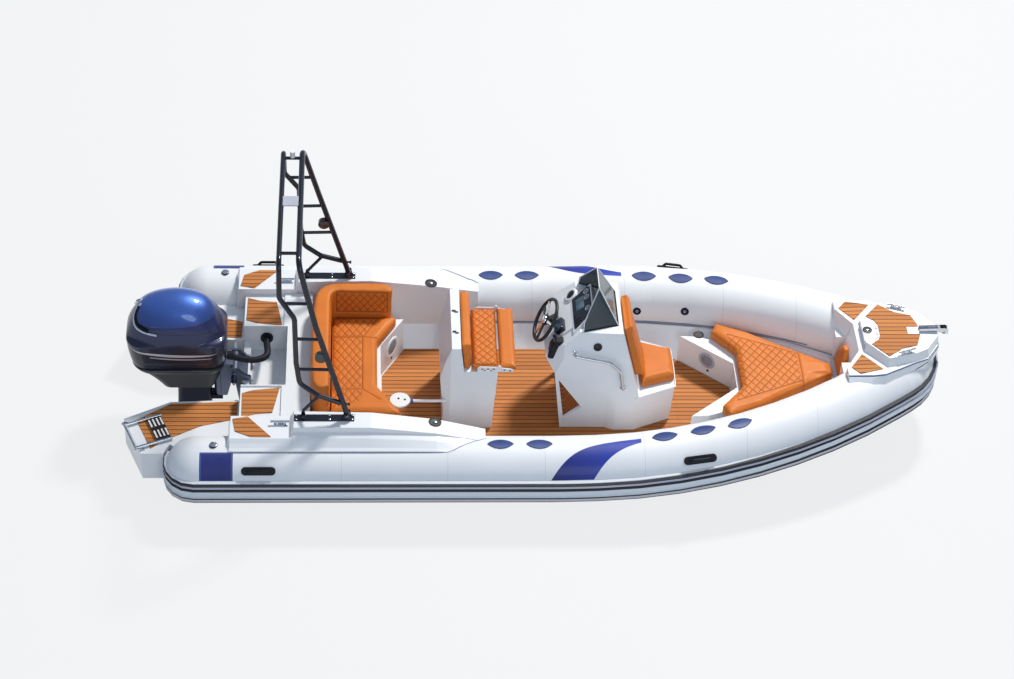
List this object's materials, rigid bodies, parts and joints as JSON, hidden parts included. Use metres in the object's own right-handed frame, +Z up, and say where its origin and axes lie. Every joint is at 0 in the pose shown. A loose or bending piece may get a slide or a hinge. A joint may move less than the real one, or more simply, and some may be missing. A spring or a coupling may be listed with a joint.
{
  "type": "rigid inflatable boat with outboard engine",
  "caption": "Open rigid inflatable boat: deep-V hull, inflated collar, console, lounge, sun pad, folding arch and tilting, steering outboard engine with turning propeller.",
  "frame": {"origin": "on the centreline at the transom's aft face, on the waterline", "axes": "+X towards the bow, +Y to port, +Z up"},
  "size_m": [6.5296, 2.536, 2.915],
  "materials": {
    "gelcoat": "glossy white gelcoat on moulded glass fibre",
    "collar_fabric": "satin coated fabric, white",
    "strake_rubber": "ribbed rubber strake, grey with black lines",
    "blue_pad": "moulded blue rubber",
    "black_rubber": "moulded black rubber",
    "teak": "synthetic teak planks with dark seams",
    "upholstery": "orange stitched marine vinyl",
    "stainless": "polished stainless steel",
    "arch_paint": "gloss black tube",
    "engine_navy": "metallic navy lacquer",
    "engine_black": "dark satin casing",
    "engine_metal": "painted aluminium casting",
    "bracket_metal": "painted cast aluminium",
    "prop_metal": "cast stainless steel",
    "dash_black": "black instrument glass",
    "tinted_glass": "tinted acrylic",
    "grip_black": "black stitched grip",
    "white_plastic": "white moulded plastic"
  },
  "bodies": {
    "boat": {"anchor_bracket": "stainless", "arch_feet": "arch_paint", "bolster_brackets": "white_plastic", "bow_backrest": "upholstery", "bow_deck": "gelcoat", "bow_locker": "gelcoat", "bow_teak": "teak", "clamp_bracket": "bracket_metal", "cleats": "stainless", "console": "gelcoat", "console_backrest": "upholstery", "console_seat": "upholstery", "dash_panel": "dash_black", "deck_liner": "gelcoat", "grab_rail": "stainless", "helm_backrest": "upholstery", "helm_box": "gelcoat", "helm_seat": "upholstery", "hose_boot": "black_rubber", "hull": "gelcoat", "ladder_brackets": "stainless", "lounge_backrest": "upholstery", "lounge_base": "gelcoat", "lounge_seat": "upholstery", "platform_port": "gelcoat", "platform_starboard": "gelcoat", "rigging_hose": "black_rubber", "side_pod_port": "gelcoat", "side_pod_starboard": "gelcoat", "side_table": "white_plastic", "steering_column": "engine_black", "stern_deck": "gelcoat", "stern_teak": "teak", "strake_port": "strake_rubber", "strake_starboard": "strake_rubber", "sunpad": "upholstery", "teak_floor": "teak", "throttle": "black_rubber", "tube_handles": "black_rubber", "tube_pads": "blue_pad", "tube_port": "collar_fabric", "tube_starboard": "collar_fabric", "windscreen": "tinted_glass"},
    "arch_frame": {"arch": "arch_paint", "arch_lamps": "arch_paint"},
    "tilt_bracket": {"swivel_bracket": "bracket_metal"},
    "engine_leg": {"midsection": "engine_metal", "lower_cowl": "engine_black", "upper_cowl": "engine_navy", "engine_block": "engine_black", "gearcase": "engine_metal"},
    "prop": {"propeller": "prop_metal"},
    "helm_wheel": {"steering_wheel": "grip_black"},
    "ladder": {"boarding_ladder": "stainless"},
    "hatch_lid": {"bow_hatch": "gelcoat"},
    "bolster": {"helm_bolster": "upholstery"},
    "roller": {"bow_roller": "black_rubber"}
  },
  "joints": [
    {"name": "arch_fold", "type": "hinge", "parent": "boat", "child": "arch_frame", "pos_m": [0.835, 0, 0.745], "axis": [0, 1, 0], "range_deg": [0, 65]},
    {"name": "engine_tilt", "type": "hinge", "parent": "boat", "child": "tilt_bracket", "pos_m": [-0.06, 0, 0.505], "axis": [0, 1, 0], "range_deg": [0, 60], "deforming": ["rigging_hose"]},
    {"name": "engine_steer", "type": "hinge", "parent": "tilt_bracket", "child": "engine_leg", "pos_m": [-0.19, 0, 0.3], "axis": [0, 0, 1], "range_deg": [-30, 30]},
    {"name": "prop_spin", "type": "hinge", "parent": "engine_leg", "child": "prop", "pos_m": [-0.74, 0, -0.5], "axis": [1, 0, 0], "continuous": true},
    {"name": "wheel_turn", "type": "hinge", "parent": "boat", "child": "helm_wheel", "pos_m": [2.39, 0, 0.975], "axis": [-0.8829, 0, 0.4695], "range_deg": [-720, 720]},
    {"name": "ladder_swing", "type": "hinge", "parent": "boat", "child": "ladder", "pos_m": [-0.838, -0.774, 0.4493], "axis": [-0.3843, 0.9232, 0], "range_deg": [-265, 0]},
    {"name": "hatch_lift", "type": "hinge", "parent": "boat", "child": "hatch_lid", "pos_m": [5.04235, 0, 0.8765], "axis": [0, 1, 0], "range_deg": [0, 95]},
    {"name": "bolster_flip", "type": "hinge", "parent": "boat", "child": "bolster", "pos_m": [2.019, 0, 0.8], "axis": [0, -1, 0], "range_deg": [0, 90]},
    {"name": "roller_spin", "type": "hinge", "parent": "boat", "child": "roller", "pos_m": [5.58995, 0, 0.88], "axis": [0, 1, 0], "continuous": true}
  ],
  "couplings": [
    {"joint": "wheel_turn", "follows": "engine_steer", "ratio": 24}
  ]
}
